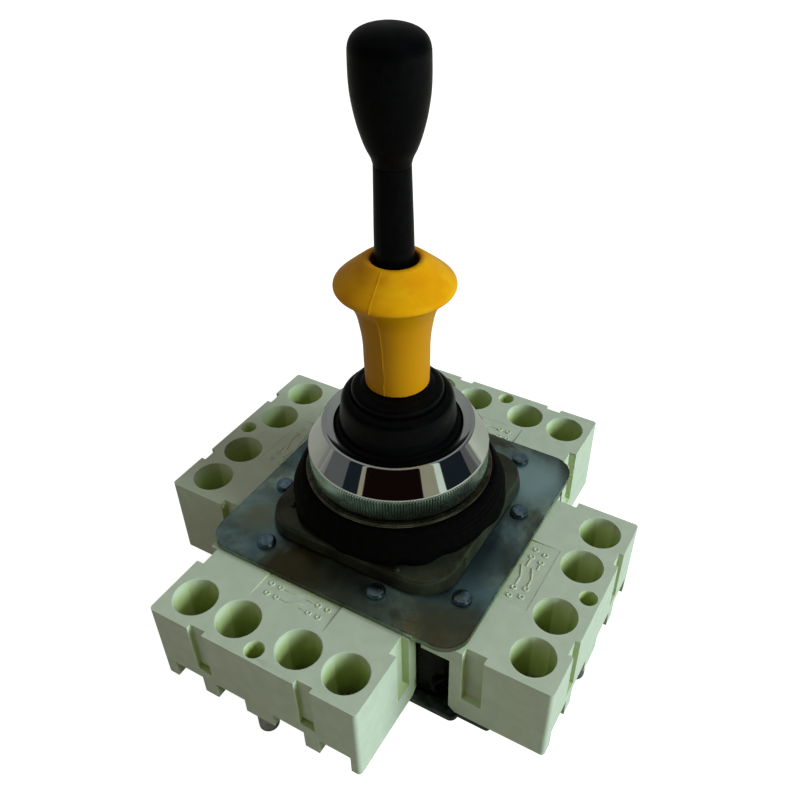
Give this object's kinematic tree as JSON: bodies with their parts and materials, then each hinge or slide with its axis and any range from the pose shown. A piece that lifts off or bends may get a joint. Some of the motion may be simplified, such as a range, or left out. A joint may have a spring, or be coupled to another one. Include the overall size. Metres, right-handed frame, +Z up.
{
  "type": "industrial joystick",
  "caption": "Panel joystick: sprung tilting lever with a black knob and a yellow pull-up collar, chromed ring nut and square plate over radial contact blocks.",
  "frame": {"origin": "centre of the overall box at its underside, where the block screws' heads stand", "axes": "+Z up the lever, -Y towards the front contact block, +X towards the right one"},
  "size_m": [0.09, 0.09, 0.1159],
  "materials": {
    "ivory_plastic": "fine matt moulding",
    "zinc_steel": "blue and olive passivated zinc",
    "black_moulding": "satin",
    "die_casting": "olive passivated casting",
    "chrome": "polished, knurled band",
    "rubber": "soft satin",
    "yellow_plastic": "satin amber",
    "black_plastic": "satin",
    "bright_steel": "bright zinc",
    "brass": "bright",
    "nylon": "natural"
  },
  "bodies": {
    "base": {"top_plate": "zinc_steel", "base_plate": "zinc_steel", "block_rivets": "bright_steel", "core_housing": "black_moulding", "terminal_screws": "bright_steel", "terminal_clamps": "bright_steel", "block_screws": "bright_steel", "head_body": "die_casting", "head_screws": "bright_steel", "panel_gasket": "rubber", "latch_gate": "bright_steel", "rubber_boot": "rubber", "contact_block_front": "ivory_plastic", "contact_block_right": "ivory_plastic", "contact_block_back": "ivory_plastic", "contact_block_left": "ivory_plastic", "fixed_contacts_front": "brass", "fixed_contacts_right": "brass", "fixed_contacts_back": "brass", "fixed_contacts_left": "brass", "plunger_spring_front": "bright_steel", "plunger_spring_right": "bright_steel", "plunger_spring_back": "bright_steel", "plunger_spring_left": "bright_steel"},
    "washer": {"clamp_washer": "bright_steel"},
    "nut": {"ring_nut": "chrome"},
    "gimbal": {"gimbal_ring": "bright_steel", "gimbal_pins": "bright_steel"},
    "lever": {"lever_hub": "nylon", "lever_shaft": "bright_steel", "stick_sleeve": "black_plastic", "knob": "black_plastic", "cam_block": "nylon", "cam_screw": "bright_steel", "collar_spring": "bright_steel"},
    "collar": {"interlock_collar": "yellow_plastic", "latch_sleeve": "bright_steel"},
    "plunger_front": {"plunger_front": "nylon", "contact_bridges_front": "brass"},
    "plunger_right": {"plunger_right": "nylon", "contact_bridges_right": "brass"},
    "plunger_back": {"plunger_back": "nylon", "contact_bridges_back": "brass"},
    "plunger_left": {"plunger_left": "nylon", "contact_bridges_left": "brass"}
  },
  "joints": [
    {"name": "tilt_x", "type": "hinge", "parent": "base", "child": "gimbal", "pos_m": [0, 0, 0.0295], "axis": [1, 0, 0], "range_deg": [-10, 10], "stiffness_Nm_per_rad": 2, "deforming": ["rubber_boot", "plunger_spring_front", "plunger_spring_back"]},
    {"name": "tilt_y", "type": "hinge", "parent": "gimbal", "child": "lever", "pos_m": [0, 0, 0.0295], "axis": [0, 1, 0], "range_deg": [-10, 10], "stiffness_Nm_per_rad": 2, "deforming": ["rubber_boot", "plunger_spring_right", "plunger_spring_left"]},
    {"name": "collar_lift", "type": "slide", "parent": "lever", "child": "collar", "axis": [0, 0, 1], "range_m": [0, 0.005], "stiffness_N_per_m": 300, "springref_m": -0.01, "deforming": ["collar_spring"]},
    {"name": "nut_turn", "type": "hinge", "parent": "washer", "child": "nut", "pos_m": [0, 0, 0.0362], "axis": [0, 0, 1], "range_deg": [0, 1440]},
    {"name": "washer_lift", "type": "slide", "parent": "base", "child": "washer", "axis": [0, 0, 1], "range_m": [0, 0.006]},
    {"name": "plunger_front_slide", "type": "slide", "parent": "base", "child": "plunger_front", "axis": [0, -1, 0], "range_m": [-0.00245, 0.00245]},
    {"name": "plunger_right_slide", "type": "slide", "parent": "base", "child": "plunger_right", "axis": [1, 0, 0], "range_m": [-0.00245, 0.00245]},
    {"name": "plunger_back_slide", "type": "slide", "parent": "base", "child": "plunger_back", "axis": [0, 1, 0], "range_m": [-0.00245, 0.00245]},
    {"name": "plunger_left_slide", "type": "slide", "parent": "base", "child": "plunger_left", "axis": [-1, 0, 0], "range_m": [-0.00245, 0.00245]}
  ],
  "couplings": [
    {"joint": "nut_turn", "follows": "washer_lift", "rad_per_m": 4188.8},
    {"joint": "plunger_front_slide", "follows": "tilt_x", "m_per_rad": -0.0138},
    {"joint": "plunger_right_slide", "follows": "tilt_y", "m_per_rad": -0.0138},
    {"joint": "plunger_back_slide", "follows": "tilt_x", "m_per_rad": 0.0138},
    {"joint": "plunger_left_slide", "follows": "tilt_y", "m_per_rad": 0.0138}
  ]
}
